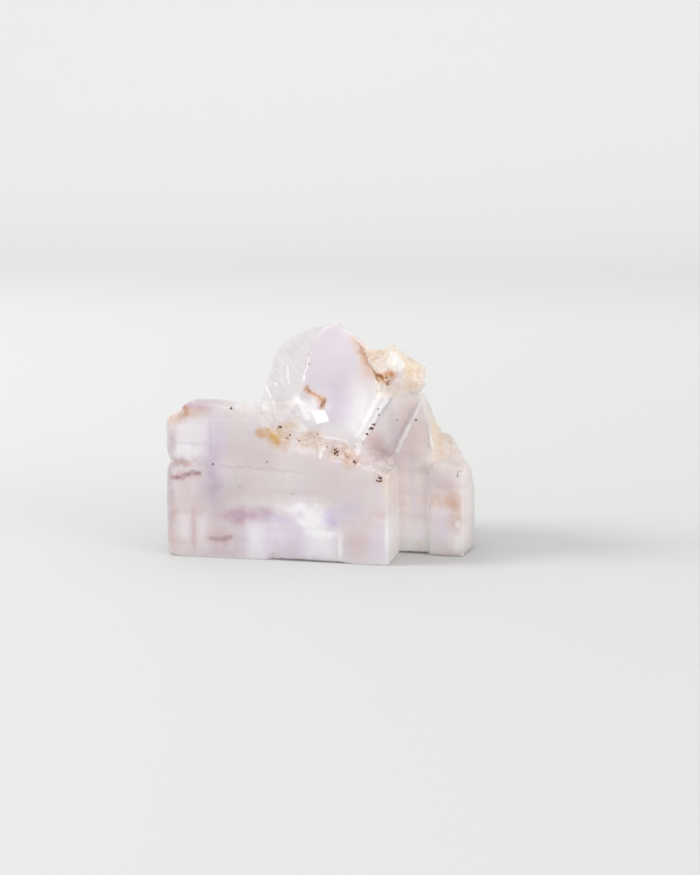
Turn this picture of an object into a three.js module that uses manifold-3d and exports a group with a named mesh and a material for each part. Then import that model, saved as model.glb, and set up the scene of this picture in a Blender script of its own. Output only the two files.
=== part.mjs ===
import * as THREE from 'three';
import { ConvexGeometry } from 'three/addons/geometries/ConvexGeometry.js';
import { ImprovedNoise } from 'three/addons/math/ImprovedNoise.js';
import { mergeVertices } from 'three/addons/utils/BufferGeometryUtils.js';
import Module from 'manifold-3d';

// A hand specimen of fluorite: cubic crystals that grew into one another, so all of it is one solid.
//
//   block   the largest cube, cleaved to a tablet, with a clean front face and a broken top edge
//   wing    a second cube in the same position, set back on the right, its upper corner broken
//   twin    a cube turned half over its corner, standing on the broken ledge, its left flank conchoidal
//   crust   small crystals, stained yellow, on the twin's right corner
//   rear    smaller cubes and cleavage faces that finish the back
//
// Millimetres, +Z up. +X runs along the front face, +Y runs back from it.

// ---------------------------------------------------------------- driving dimensions

const BLOCK = { left: -23, right: 9.5, front: -11, back: 3, top: 22.5 };
const GROOVE_Z = 13.9; // height of the groove that runs in from the block's left edge
const LIFTED_EDGE = { from: -7.2, to: 3.3, height: 0.5, depth: 1.2 }; // broken off the block's foot

const WING = { front: -2.9, panelFront: -3.5, panelLeft: 14.1, right: 19.1, back: 2.7, foot: 0.3 };

const TWIN = { corner: [4.75, -9, 17.06], azimuth: -28.1, lean: 20.8, roll: 65.5 }; // degrees
const TWIN_SIZE = { width: 11.75, buried: 6 };
const TWIN_BEVEL = { broad: 0.75, deep: 0.4 };

const REAR_LIMIT = 11; // how far back the cluster reaches
const REAR_STEP = 0.6; // height of the growth steps on its hindmost face

// Depth of the rough on each kind of break, and how wide its lumps and treads are.
const GRAIN = { ledge: 0.45, flank: 0.25, wing: 0.4, cleavage: 0.3 };
const LUMP = { broad: 2.6, fine: 1.1, fineShare: 0.6, squeeze: 1.3 };
const TREAD = { width: 4.2, levels: 3, rough: 0.15, cell: 1.3 };

const SAME_CORNER = 1e-5; // corners closer than this are one corner of a crystal
const WELD = 0.005; // corners closer than this become one when crystals are joined

const COLOUR = 0xd8cdd0; // pale, milky, faintly lilac
const ROUGHNESS = 0.35;

// ---------------------------------------------------------------- tools

const wasm = await Module();
wasm.setup();
const perlin = new ImprovedNoise();

/** Turns a closed three.js geometry into a solid that can be joined and cut. */
function solid(geometry) {
  geometry.deleteAttribute('normal');
  geometry.deleteAttribute('uv');
  const merged = mergeVertices(geometry, SAME_CORNER);
  return new wasm.Manifold(new wasm.Mesh({
    numProp: 3,
    vertProperties: merged.attributes.position.array,
    triVerts: new Uint32Array(merged.index.array),
    tolerance: WELD,
  }));
}

/** The smallest convex crystal through a few corners. */
function hull(corners) {
  return solid(new ConvexGeometry(corners.map((corner) => new THREE.Vector3(...corner))));
}

/** A tablet: an outline drawn on X and Z, running back from y = front to y = back. */
function tablet(outline, front, back) {
  const shape = new THREE.Shape(outline.map(([x, z]) => new THREE.Vector2(x, z)));
  const slab = new THREE.ExtrudeGeometry(shape, { depth: back - front, bevelEnabled: false });
  slab.rotateX(Math.PI / 2);
  slab.translate(0, back, 0);
  return solid(slab);
}

/** A cube-faced block between two opposite corners. */
function block([x0, y0, z0], [x1, y1, z1]) {
  const box = new THREE.BoxGeometry(x1 - x0, y1 - y0, z1 - z0);
  box.translate((x0 + x1) / 2, (y0 + y1) / 2, (z0 + z1) / 2);
  return solid(box);
}

/** A block of the given size, turned by Euler angles in degrees about its middle. */
function turnedBlock(size, middle, turns) {
  const box = new THREE.BoxGeometry(...size);
  const [rx, ry, rz] = turns.map(THREE.MathUtils.degToRad);
  box.applyMatrix4(new THREE.Matrix4().makeRotationFromEuler(new THREE.Euler(rx, ry, rz)));
  box.translate(...middle);
  return solid(box);
}

/** Uneven ground, in two sizes of lump, between about -1 and 1. */
function uneven(x, y, seed) {
  const broad = perlin.noise(x / LUMP.broad, y / LUMP.broad, seed);
  const fine = perlin.noise(x / LUMP.fine, y / LUMP.fine, seed + 0.5);
  return broad + LUMP.fineShare * fine;
}

/** Cleavage breaks in flat treads: the uneven ground, rounded to a few levels. */
function treads(x, y, seed) {
  const level = Math.round(TREAD.levels * perlin.noise(x / TREAD.width, y / TREAD.width, seed));
  return level / TREAD.levels + TREAD.rough * uneven(x, y, seed);
}

/** What a cleavage takes away: everything beyond a stepped plane through `at` that faces `facing`. */
function waste({ at, facing, width, seed }) {
  const thickness = 20;
  const cells = Math.round(width / TREAD.cell);
  const slab = new THREE.BoxGeometry(width, width, thickness, cells, cells, 1);
  slab.translate(0, 0, thickness / 2);
  const position = slab.attributes.position;
  for (let i = 0; i < position.count; i++) {
    if (position.getZ(i) > 0) continue;
    position.setZ(i, GRAIN.cleavage * treads(position.getX(i), position.getY(i), seed));
  }
  const outward = new THREE.Vector3(...facing).normalize();
  const up = new THREE.Vector3(0, 0, 1);
  slab.applyQuaternion(new THREE.Quaternion().setFromUnitVectors(up, outward));
  slab.translate(...at);
  return solid(slab);
}

/** The point a fraction of the way along a line of corners, counted by corner. */
function along(line, fraction) {
  const place = fraction * (line.length - 1);
  const corner = Math.min(Math.floor(place), line.length - 2);
  const before = new THREE.Vector3(...line[corner]);
  const after = new THREE.Vector3(...line[corner + 1]);
  return before.lerp(after, place - corner);
}

/**
 * A broken face stretched between two lines of corners, with body behind it in the direction `into`.
 * Seen from outside, the foot lies to the left of the way the edge runs.
 */
function brokenFace({ edge, foot, into, perCorner, across, depth, seed }) {
  const run = (edge.length - 1) * perCorner;
  const sheet = new THREE.BoxGeometry(1, 1, 1, run, across, 1);
  sheet.translate(0.5, 0.5, 0.5);
  const body = new THREE.Vector3(...into);
  const outward = body.clone().normalize().negate();
  const position = sheet.attributes.position;
  for (let i = 0; i < position.count; i++) {
    const [s, t, k] = [position.getX(i), position.getY(i), position.getZ(i)];
    const point = along(edge, s).lerp(along(foot, s), t);
    const held = 4 * t * (1 - t); // both lines stay where they are
    point.addScaledVector(outward, k * held * depth * uneven(run * s, across * t * LUMP.squeeze, seed));
    point.addScaledVector(body, 1 - k);
    position.setXYZ(i, point.x, point.y, point.z);
  }
  return solid(sheet);
}

const join = (pieces) => pieces.reduce((whole, piece) => whole.add(piece));
const carve = (whole, cutters) => cutters.reduce((left, cutter) => left.subtract(cutter), whole);

// ---------------------------------------------------------------- block

// The broken top edge of the front face, from the flat top on the left down to the right corner.
const BROKEN_EDGE = [
  [-12.9, 21.9], [-10.9, 21.6], [-9.6, 21.1], [-8.9, 20.1], [-7.3, 18.8], [-5.4, 17.6],
  [-3.2, 16.7], [-0.6, 15.6], [2.6, 14.8], [5.7, 14], [9, 13.1],
];

const BLOCK_OUTLINE = [
  [-22.3, 0], [BLOCK.right, 0], [BLOCK.right, 13.1],
  ...BROKEN_EDGE.slice().reverse(),
  [-15.4, 22.3], [-18.6, BLOCK.top - 0.1], [-20, 22.2], [-20.5, 21.8], [-20.7, 21.2], [-21.6, 20.8],
  [-22.4, 20.4], [-22.8, 19.6], [-22.9, 17], [-22.8, 15.5], [-22.5, 14.5],
  [-22.2, GROOVE_Z], [-22.4, 13.5], [-22.8, 13], [BLOCK.left, 8.2], [-22.9, 0.7],
];

function makeBlock() {
  const { left, right, front, top } = BLOCK;
  const { from, to, height, depth } = LIFTED_EDGE;
  const middle = (from + to) / 2;
  const low = front - 1;
  return carve(tablet(BLOCK_OUTLINE, front, BLOCK.back), [
    // the flat top is only a few millimetres deep, then a cleavage break falls away behind it
    waste({ at: [-17, -6.4, top], facing: [-0.05, 0.72, 0.7], width: 34, seed: 3 }),
    // the groove on the left edge, and the shallow step it turns into across the face
    hull([
      [left - 1, low, GROOVE_Z + 0.6], [left - 1, low, GROOVE_Z - 0.6],
      [left - 1, 4, GROOVE_Z + 0.6], [left - 1, 4, GROOVE_Z - 0.6],
      [-21.8, front, GROOVE_Z], [-21.9, 4, GROOVE_Z + 0.3],
    ]),
    hull([
      [-22.5, low, GROOVE_Z + 0.7], [-22.5, low, GROOVE_Z - 0.5], [-22.5, front + 0.35, GROOVE_Z],
      [-17.5, low, GROOVE_Z + 0.4], [-17.5, low, GROOVE_Z - 0.5],
      [-17.5, front + 0.18, GROOVE_Z - 0.2],
    ]),
    hull([
      [-17.6, low, GROOVE_Z + 0.3], [-17.6, low, GROOVE_Z - 0.5],
      [-17.6, front + 0.18, GROOVE_Z - 0.2],
      [-3, low, GROOVE_Z - 1.2], [-3, low, GROOVE_Z - 1.8], [-3, front + 0.03, GROOVE_Z - 1.5],
    ]),
    // the foot of the face: a long shallow chip, two deeper nicks, and the chipped right corner
    hull([
      [from, low, -1], [from, low, height], [to, low, -1], [to, low, height * 0.6],
      [from, front, height], [to, front, height * 0.6],
      [from + 0.5, front + depth, -0.1], [to - 0.6, front + depth, -0.1],
      [middle, front + depth * 1.4, -0.1],
    ]),
    hull([
      [-9.1, low, -0.5], [-7.2, low, 1.4], [-6.9, low, -0.5], [-7.2, front + 0.1, 1.3],
      [-8.9, front + 0.2, 0], [-7, front + 1.3, 0],
    ]),
    hull([
      [-3.4, low, 0], [-1.9, low, 0], [-2.7, low, 1.2], [-2.7, front + 0.1, 1.1], [-2.7, front + 1, 0],
    ]),
    hull([
      [right + 1, front - 0.6, -1], [right - 0.9, low, -0.6], [right + 1, low, 1.6],
      [right + 0.3, front + 1.4, 0.3],
    ]),
  ]);
}

// ---------------------------------------------------------------- ledge

// Where the ledge meets the crystals that stand on it.
const LEDGE_FOOT = [
  [-12.8, -8.6, 22.2], [-11.6, -6, 22.2], [-11.2, -3, 21.8], [-8.9, -2.6, 21.8], [-6.9, -2.2, 21.1],
  [-5.8, -3, 18.4], [-3.2, -4.7, 17.3], [-1.2, -5.8, 17.2], [2, -7.5, 17.1], [5.1, -8.9, 16.9],
  [8, -3, 14.2],
];

function makeLedge() {
  const front = BROKEN_EDGE.map(([x, z]) => [x, BLOCK.front, z]);
  const sinking = LEDGE_FOOT.map(([x, y, z]) => [x + 0.4, y + 3.5, z - 0.6]);
  const body = { into: [0, 0, -3], perCorner: 2 };
  return join([
    brokenFace({ ...body, edge: front, foot: LEDGE_FOOT, across: 7, depth: GRAIN.ledge, seed: 1 }),
    brokenFace({ ...body, edge: LEDGE_FOOT, foot: sinking, across: 2, depth: 0, seed: 2 }),
    // sharp cleavage chips left standing along the break
    hull([
      [-0.7, -10.9, 16.3], [0.5, -10.9, 16.3], [-0.2, BLOCK.front - 0.05, 15.2], [-0.3, -8, 16.9],
      [1.2, -8.4, 17], [-0.2, -8.5, 15],
    ]),
    hull([[-4.6, -10.4, 17.2], [-2.3, -10.6, 16.7], [-3, -8.2, 17.9], [-5, -7.8, 18.2], [-3.4, -8, 16]]),
    hull([[-9.2, -9.6, 20.9], [-7.4, -9.2, 19.6], [-8.2, -6.4, 21.9], [-9.9, -6.6, 22.1], [-8.6, -7, 19]]),
    hull([[6.2, -9.8, 14.3], [8.6, -10, 13.5], [8.4, -6.5, 14.6], [6.4, -7, 15.3], [7.4, -7, 13]]),
  ]);
}

// ---------------------------------------------------------------- wing

// The break on the wing's upper corner: its edge on the front face, and the skyline behind it.
const WING_BREAK_EDGE = [
  [12.8, -2.9, 23], [13.2, -2.9, 21.4], [13.6, -2.9, 19.8], [14, -2.9, 17.8], [14.4, -2.9, 15.9],
  [14.7, -2.9, 13.8], [16.8, -3.2, 13.5], [19, -3.3, 12.9],
];
const WING_SKYLINE = [
  [12.2, 2, 22.8], [13.2, 2, 21], [14, 2, 18.8], [15.1, 2, 17.3], [17, 2, 16.3], [17.9, 2, 14.6],
  [18.6, 2, 12.7], [19.4, 2.2, 11.6],
];

function makeWing() {
  const { front, panelFront, panelLeft, right, back, foot } = WING;
  const panel = [
    [panelLeft, 0.1], [right, 0], [right, 12.9], [right - 1.1, 13.3], [right - 3, 13.2],
    [panelLeft + 0.6, 13.7], [panelLeft, 12.6],
  ];
  const face = [
    [2, foot], [9.4, 0.2], [11.5, 0.7], [panelLeft + 0.3, 0.4], [panelLeft + 0.3, 15.9], [14, 17.8],
    [13.6, 19.8], [13.2, 21.4], [12.8, 23], [8, 23.4], [2, 18],
  ];
  return join([
    tablet(face, front, 1),
    tablet(panel, panelFront, back - 1.4),
    block([9, front, foot], [18.7, back, 11.9]),
    block([7, front, foot], [13.2, back + 2.4, 14.6]),
    hull([
      [right, panelFront, 0.1], [right, panelFront, 12.9], [19.9, back, 0.4], [19.8, back, 8.6],
      [19.4, back - 0.4, 11.7], [12, back, 0.4], [12, back, 12],
    ]),
    brokenFace({
      edge: WING_BREAK_EDGE, foot: WING_SKYLINE, into: [-5, 1.2, -4], perCorner: 2, across: 7,
      depth: GRAIN.wing, seed: 5,
    }),
    // body behind the skyline, falling away to the back
    hull([
      [8, 1, 9], [8, 1, 23], [12, 1.6, 22.6], [13, 1.6, 20.9], [13.8, 1.6, 18.8], [14.9, 1.6, 17.1],
      [8, 6, 20.6], [11.2, 5, 20.4], [12.6, 5.6, 17], [8, 7.4, 15], [13, 6.4, 13],
    ]),
    hull([
      [9, 1, 9], [14.9, 1.6, 17.1], [16.8, 1.6, 16.1], [17.8, 1.6, 14.5], [18.5, 1.6, 12.6],
      [18.9, 1.6, 11],
      [9, 6.6, 15.4], [13.4, 6, 15], [15.8, 5.2, 13.6], [17, 4.6, 10.8], [9, 7, 9],
    ]),
    // the pale ridge where the twin's underside meets the wing's face
    hull([
      [7.9, front, 13.9], [8.9, front, 12.8], [8.4, front - 0.6, 13.2], [12.3, front, 22.2],
      [13, front, 22.3], [12.7, front - 0.5, 22.3], [10, 0, 18],
    ]),
    // the pale fin along the left of the break
    hull([
      [13.4, front, 20.3], [14, front, 19.4], [14.6, front, 15.6], [14.1, front, 15.4],
      [13.9, front - 0.45, 19], [14.3, front - 0.45, 16], [13.8, 0, 17.4],
    ]),
  ]);
}

// ---------------------------------------------------------------- twin

// In the twin's own frame x runs up its right edge, z up its lower left edge, y into it.
// The clean face ends in a broken edge, and from there the flank falls back to the skyline.
const TWIN_EDGE = [
  [-6, 0, 8], [-4.3, 0, 10.1], [-0.7, 0, 13.2], [1.5, 0, 14.6], [4.4, 0, 16.2], [6.3, 0, 16.8],
  [9.2, 0, 17.4], [12, 0, 15.4],
];
const TWIN_SKYLINE = [
  [-6, 2.2, 21.5], [-3.3, 2.2, 22.5], [-0.6, 2.2, 23.4], [2.1, 2.1, 24.4], [4.3, 1.8, 23.6],
  [6.7, 1.3, 21.9], [9, 0.8, 19.4], [11.9, 0.1, 15.6],
];
const TWIN_BACK = [
  [10, 7.4, 0], [10, 6, 13], [7.6, 5.5, 18.5], [5, 6.5, 21], [1.5, 7.5, 22.4], [-6, 7.6, 20.4],
  [6.5, 12.5, 1], [5.5, 13, 11], [-6, 13, 0], [-6, 12, 13],
];

/** Stands a piece made in the twin's own frame on the twin's lowest front corner. */
function standTwin(piece) {
  const { corner, azimuth, lean, roll } = TWIN;
  const turn = new THREE.Euler(...[-lean, -roll, azimuth].map(THREE.MathUtils.degToRad), 'ZXY');
  const place = new THREE.Matrix4().makeRotationFromEuler(turn).setPosition(...corner);
  return piece.transform(place.elements);
}

function makeTwin() {
  const { width, buried } = TWIN_SIZE;
  const { broad, deep } = TWIN_BEVEL;
  const face = [[-buried, 0, 0], [width, 0, 0], ...TWIN_EDGE];
  const underSkyline = TWIN_SKYLINE.slice(0, -1).map(([x, y, z]) => [x, y + 0.5, z - 0.3]);
  const crystal = join([
    hull([...face, ...underSkyline, ...TWIN_BACK]),
    brokenFace({
      edge: TWIN_EDGE, foot: TWIN_SKYLINE, into: [-0.6, 1.2, -0.4], perCorner: 2, across: 8,
      depth: GRAIN.flank, seed: 11,
    }),
  ]);
  return standTwin(carve(crystal, [
    // a narrow bevel along the right edge
    hull([
      [-buried, -1, -1], [-buried, -1, broad], [-buried, 0, broad],
      [-buried, deep, 0], [-buried, deep, -1],
      [width + 1, -1, -1], [width + 1, -1, broad * 0.6], [width + 1, 0, broad * 0.6],
      [width + 1, deep, 0], [width + 1, deep, -1],
    ]),
    // a chip out of the face, its lower wall a bright cleavage facet
    hull([
      [1.9, -0.3, 13.4], [1.2, -0.3, 9.1], [-0.2, -0.2, 6.6], [-1.4, -0.2, 8.2], [-0.3, -0.2, 11.8],
      [1.5, 0.2, 11], [0.9, 0.55, 9.6],
    ]),
    // the back of the twin, cleaved in treads
    waste({ at: [4, 9.4, 14], facing: [0.6, 0.8, 0.35], width: 30, seed: 12 }),
    waste({ at: [0, 8.4, 19], facing: [-0.1, 0.75, 0.65], width: 30, seed: 13 }),
  ]));
}

// ---------------------------------------------------------------- crust

function makeCrust() {
  return join([
    // lobe against the twin's face
    hull([
      [4.7, -4.6, 29.9], [6.5, -5.2, 30], [8, -5.2, 30.3], [8.6, -7.4, 29.4], [8.2, -8.9, 27.2],
      [7.6, -8.9, 25.6], [6.1, -7.3, 28.3], [8.6, -8.9, 24.4], [10, -6, 26], [8, -2.5, 27],
    ]),
    // the tallest crystal, its bright face turned up
    hull([
      [7.9, -5.4, 30.4], [8.6, -4.2, 30.8], [9.4, -4, 30.5], [10.4, -4.2, 29.9], [11.5, -6.2, 28.2],
      [10.6, -8.2, 27.2], [9.6, -8.4, 28], [8.8, -7.8, 29.3], [10.5, -3, 26], [8.5, -5, 26],
    ]),
    // right lobe, hanging over the wing
    hull([
      [10.3, -4.4, 29.6], [11.8, -4.6, 28.6], [12.8, -4.5, 28.2], [13.5, -4.1, 27.6], [13.6, -4.1, 26.6],
      [13.3, -4.5, 25.8], [13.2, -4, 24], [12.2, -6.4, 26.8], [11.4, -6.9, 28], [10.4, -7.8, 25.4],
      [9.8, -7.4, 23.9], [10, -2, 24.5], [12.6, -2, 26],
    ]),
    // small cubes in the crust
    turnedBlock([2.4, 2.4, 2.4], [12, -5, 25.6], [20, 35, 25]),
    turnedBlock([2, 2, 2], [7.2, -6.8, 28.2], [40, 10, 30]),
    turnedBlock([1.7, 1.7, 1.7], [9.9, -7.3, 25.6], [15, 50, 10]),
    turnedBlock([2.4, 2.4, 2.4], [11.2, -2.8, 26.4], [30, 20, 60]),
  ]);
}

// ---------------------------------------------------------------- rear

function makeRear() {
  const shoulder = block([-17.6, -2, 0], [-1, 7.4, 12.6]);
  const tall = block([-5.6, -2, 0], [8.2, REAR_LIMIT - REAR_STEP, 16.4]);
  const heel = block([7, -1, 0.4], [17, 8.6, 11.8]);
  const saddle = block([-14, -2, 6], [-6.5, 6.6, 19.6]);
  return join([
    carve(saddle, [
      waste({ at: [-12.6, 2, 17], facing: [-0.8, 0.5, 0.5], width: 26, seed: 20 }),
    ]),
    carve(shoulder, [
      // an octahedral cleavage across the upper left corner
      waste({ at: [-13.2, 4.6, 11.4], facing: [-1, 1, 1], width: 26, seed: 21 }),
    ]),
    carve(tall, [
      waste({ at: [3.4, 7.6, 14.2], facing: [1, 1, 1], width: 26, seed: 22 }),
      waste({ at: [-3.6, 8.4, 14.4], facing: [-1, 1, 1], width: 26, seed: 23 }),
    ]),
    carve(heel, [
      waste({ at: [14.4, 6.6, 9.8], facing: [1, 1, 1], width: 22, seed: 24 }),
    ]),
    // small cubes that grew out of the back, two of them turned like the twin
    turnedBlock([6.4, 6.4, 6.4], [-11.4, 3.4, 12.2], [24, 18, 32]),
    turnedBlock([5, 5, 5], [-1.4, 8.2, 9.4], [0, 0, 0]),
    turnedBlock([4.2, 4.2, 4.2], [9.6, 7.4, 11], [28, -20, 40]),
    turnedBlock([3.4, 3.4, 3.4], [-16.6, 2.2, 6.4], [0, 0, 0]),
    turnedBlock([3, 3, 3], [13.4, 7.6, 5.4], [0, 0, 0]),
    // growth steps on the tall cube's back face
    block([-4.4, 8, 1.8], [5.6, REAR_LIMIT, 9.2]),
    block([-2, 8, 0.6], [7.4, REAR_LIMIT - REAR_STEP / 2, 11]),
  ]);
}

// ---------------------------------------------------------------- cluster

/** A finished solid as a faceted mesh geometry. */
function faceted(manifold) {
  const { vertProperties, triVerts } = manifold.getMesh();
  const geometry = new THREE.BufferGeometry();
  geometry.setAttribute('position', new THREE.BufferAttribute(vertProperties, 3));
  geometry.setIndex(new THREE.BufferAttribute(triVerts, 1));
  return geometry;
}

/** Puts the origin at the middle of the foot, so the cluster stands on z = 0. */
function standAtOrigin(geometry) {
  geometry.computeBoundingBox();
  const middle = geometry.boundingBox.getCenter(new THREE.Vector3());
  return geometry.translate(-middle.x, -middle.y, -geometry.boundingBox.min.z);
}

const cluster = join([makeBlock(), makeLedge(), makeWing(), makeTwin(), makeCrust(), makeRear()]);

const crystal = new THREE.Mesh(
  standAtOrigin(faceted(cluster)),
  new THREE.MeshStandardMaterial({
    color: COLOUR, roughness: ROUGHNESS, metalness: 0, flatShading: true,
  }),
);
crystal.name = 'fluorite_crystal';

const specimen = new THREE.Group();
specimen.name = 'fluorite_specimen';
specimen.add(crystal);

export default specimen;
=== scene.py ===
# %% [markdown]
# # A fluorite specimen
# The real thing is a hand specimen of pale lilac fluorite. Its cubes grew into one another, then it was
# broken from the rock, so it shows two kinds of surface: wide, flat, slightly worn crystal faces, and the
# rough breaks between them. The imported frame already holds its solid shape. Here a copy of that shape
# gets worn edges and real roughness, and then the milky, faintly zoned colour and the iron stains.

# %% Load the frame
import math
import random

import bmesh
import bpy
import numpy as np
from mathutils import Matrix, Vector, noise
from mathutils.bvhtree import BVHTree


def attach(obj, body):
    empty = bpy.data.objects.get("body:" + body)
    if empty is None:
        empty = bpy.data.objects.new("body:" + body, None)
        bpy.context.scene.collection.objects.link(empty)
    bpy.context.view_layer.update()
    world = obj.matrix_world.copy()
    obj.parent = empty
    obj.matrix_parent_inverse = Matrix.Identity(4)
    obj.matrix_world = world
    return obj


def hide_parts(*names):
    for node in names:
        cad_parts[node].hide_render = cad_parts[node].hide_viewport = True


MM = 0.001
NOISE_SEED = 5  # without a seed, noise vectors differ from run to run

noise.seed_set(NOISE_SEED)
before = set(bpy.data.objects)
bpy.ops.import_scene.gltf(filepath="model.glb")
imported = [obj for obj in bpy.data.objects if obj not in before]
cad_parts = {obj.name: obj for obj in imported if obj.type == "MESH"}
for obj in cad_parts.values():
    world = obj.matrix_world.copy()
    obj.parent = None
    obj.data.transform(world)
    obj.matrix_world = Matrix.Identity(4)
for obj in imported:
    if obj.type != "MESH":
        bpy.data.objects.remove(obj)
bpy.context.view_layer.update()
cad_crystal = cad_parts["fluorite_crystal"]

# %% [markdown]
# ## Camera
# A long lens from a little above and to the right flattens the perspective, so the front face stays
# nearly rectangular and a narrow strip of the right side face still shows.

# %% Camera
CAMERA_AT = Vector((66.27, -309.44, 74.5)) * MM
CAMERA_TURN = math.radians(11.5)  # how far round to the right of straight ahead it stands
CAMERA_PITCH = math.radians(10.45)  # how far it looks down
LENS = 90.5
FILM = 36  # mm, the long side of the picture

camera = bpy.data.objects.new("camera", bpy.data.cameras.new("camera"))
bpy.context.scene.collection.objects.link(camera)
camera.location = CAMERA_AT
camera.rotation_euler = (math.pi / 2 - CAMERA_PITCH, 0, CAMERA_TURN)
camera.data.lens = LENS
camera.data.clip_start = 10 * MM
camera.data.clip_end = 5
bpy.context.scene.camera = camera
print("camera distance in mm:", round(CAMERA_AT.length / MM, 1))

# %% [markdown]
# ## Floor and light
# The floor and the backdrop are one sheet that curves up far behind, so no line shows in the clear
# crystal. The light is soft: a bright surround, one window-like lamp up on the left that gives the shadow
# its direction, and a low card on the right that fills the faces turned away from it.

# %% Floor and backdrop
FLOOR_HALF = 600 * MM
BACKDROP_AT = 560 * MM
BACKDROP_TOP = 500 * MM
SWEEP = 180 * MM
SWEEP_STEPS = 12


def make_floor():
    """A floor that sweeps up into a backdrop: a line of points, extruded sideways."""
    bm = bmesh.new()
    profile = [(-FLOOR_HALF, 0), (BACKDROP_AT - SWEEP, 0)]
    for step in range(1, SWEEP_STEPS + 1):
        angle = math.pi / 2 * step / SWEEP_STEPS
        profile.append((BACKDROP_AT - SWEEP + SWEEP * math.sin(angle), SWEEP * (1 - math.cos(angle))))
    profile.append((BACKDROP_AT, BACKDROP_TOP))
    points = [bm.verts.new((-FLOOR_HALF, y, z)) for y, z in profile]
    edges = [bm.edges.new(pair) for pair in zip(points, points[1:])]
    made = bmesh.ops.extrude_edge_only(bm, edges=edges)["geom"]
    moved = [item for item in made if isinstance(item, bmesh.types.BMVert)]
    bmesh.ops.translate(bm, verts=moved, vec=(2 * FLOOR_HALF, 0, 0))
    bmesh.ops.recalc_face_normals(bm, faces=bm.faces)
    mesh = bpy.data.meshes.new("floor")
    bm.to_mesh(mesh)
    bm.free()
    mesh.shade_smooth()
    floor = bpy.data.objects.new("floor", mesh)
    bpy.context.scene.collection.objects.link(floor)
    return floor


floor = make_floor()
print("floor and backdrop:", len(floor.data.polygons), "faces")

# %% [markdown]
# A single grey would make the far part of the sheet look dull, because less of the lamp reaches it.
# Mixing two greys along the sheet, by how far back a place is, lets it get a little paler towards the
# backdrop.

# %% The floor's colour
FLOOR_GREY = (0.51, 0.51, 0.506, 1)
BACKDROP_GREY = (0.62, 0.62, 0.617, 1)
FADE_FROM, FADE_TO = 0 * MM, 250 * MM
FLOOR_ROUGHNESS = 0.8

floor_material = bpy.data.materials.new("pale floor")
floor_material.use_nodes = True
floor_shader = floor_material.node_tree.nodes["Principled BSDF"]
floor_shader.inputs["Roughness"].default_value = FLOOR_ROUGHNESS
floor.data.materials.append(floor_material)

floor_nodes = floor_material.node_tree.nodes
floor_place = floor_nodes.new("ShaderNodeTexCoord")
floor_axes = floor_nodes.new("ShaderNodeSeparateXYZ")
floor_share = floor_nodes.new("ShaderNodeMapRange")
floor_mix = floor_nodes.new("ShaderNodeMix")
floor_mix.data_type = "RGBA"
floor_share.inputs["From Min"].default_value = FADE_FROM
floor_share.inputs["From Max"].default_value = FADE_TO
floor_mix.inputs[6].default_value = FLOOR_GREY
floor_mix.inputs[7].default_value = BACKDROP_GREY
floor_links = floor_material.node_tree.links
floor_links.new(floor_place.outputs["Object"], floor_axes.inputs[0])
floor_links.new(floor_axes.outputs["Y"], floor_share.inputs["Value"])
floor_links.new(floor_share.outputs["Result"], floor_mix.inputs[0])
floor_links.new(floor_mix.outputs[2], floor_shader.inputs["Base Color"])
print("nodes in the floor's material:", len(floor_nodes))

# %% [markdown]
# Pale crystals are shown in soft light, because a hard lamp would burn out the faces that look at it and
# leave the rest grey. So most of the light comes from all round, and the two lamps only lean it to one
# side.

# %% Light
SURROUND_STRENGTH = 1.12
# Name, place in mm, side in mm and power in watts.
LAMPS = [
    ("window light", (-430, -130, 330), 180, 1.95),
    ("reflector card", (520, -290, 90), 400, 2.1),
]

world = bpy.data.worlds.new("soft surround")
world.use_nodes = True
surround = world.node_tree.nodes["Background"]
surround.inputs["Color"].default_value = (1, 1, 1, 1)
surround.inputs["Strength"].default_value = SURROUND_STRENGTH
bpy.context.scene.world = world


def add_lamp(name, place, size, watts):
    """A square lamp at a place in mm, aimed at the crystal."""
    lamp = bpy.data.objects.new(name, bpy.data.lights.new(name, "AREA"))
    bpy.context.scene.collection.objects.link(lamp)
    lamp.data.size = size * MM
    lamp.data.energy = watts
    lamp.location = Vector(place) * MM
    lamp.rotation_euler = (-lamp.location).to_track_quat("-Z", "Y").to_euler()


for name, place, size, watts in LAMPS:
    add_lamp(name, place, size, watts)
bpy.context.scene.view_settings.view_transform = "Standard"
print("lights:", [light.name for light in bpy.data.lights])

# %% [markdown]
# ## Finding places on the crystal
# Stains, colour zones and iron grains all belong at known places on the surface. Each is given as it is
# seen by the camera, across and down in a view 700 wide and 875 high, and a ray from the camera finds the
# point of the solid that carries it. So a mark always sits on the crystal, from whatever side it is
# looked at.

# %% Finding places on the crystal
VIEW_WIDE, VIEW_HIGH = 700, 875
VIEW_SCALE = LENS / FILM * VIEW_HIGH  # view units for one unit across at one unit of distance
UNITS_PER_MM = 7.06  # at the crystal
MERGE_WITHIN = 0.001 * MM
FACET_BEND = math.radians(1.5)  # triangles that bend less than this belong to one facet
FRONT_FACE = (300, 500)  # a place in the view, to try the ray on


def merged_copy(source):
    """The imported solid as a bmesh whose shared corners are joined."""
    bm = bmesh.new()
    bm.from_mesh(source.data)
    bmesh.ops.remove_doubles(bm, verts=bm.verts, dist=MERGE_WITHIN)
    return bm


facets = merged_copy(cad_crystal)
bmesh.ops.dissolve_limit(facets, angle_limit=FACET_BEND, verts=facets.verts, edges=facets.edges)
facets.faces.ensure_lookup_table()
facet_area = [face.calc_area() / MM**2 for face in facets.faces]
facet_tree = BVHTree.FromBMesh(facets)
turn_view = camera.rotation_euler.to_matrix()


def seen_at(across, down):
    """The point of the solid, and its normal, at a place in the camera's view."""
    aim = turn_view @ Vector((across - VIEW_WIDE / 2, VIEW_HIGH / 2 - down, -VIEW_SCALE))
    point, normal, _, _ = facet_tree.ray_cast(CAMERA_AT, aim.normalized())
    return point, normal


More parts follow.
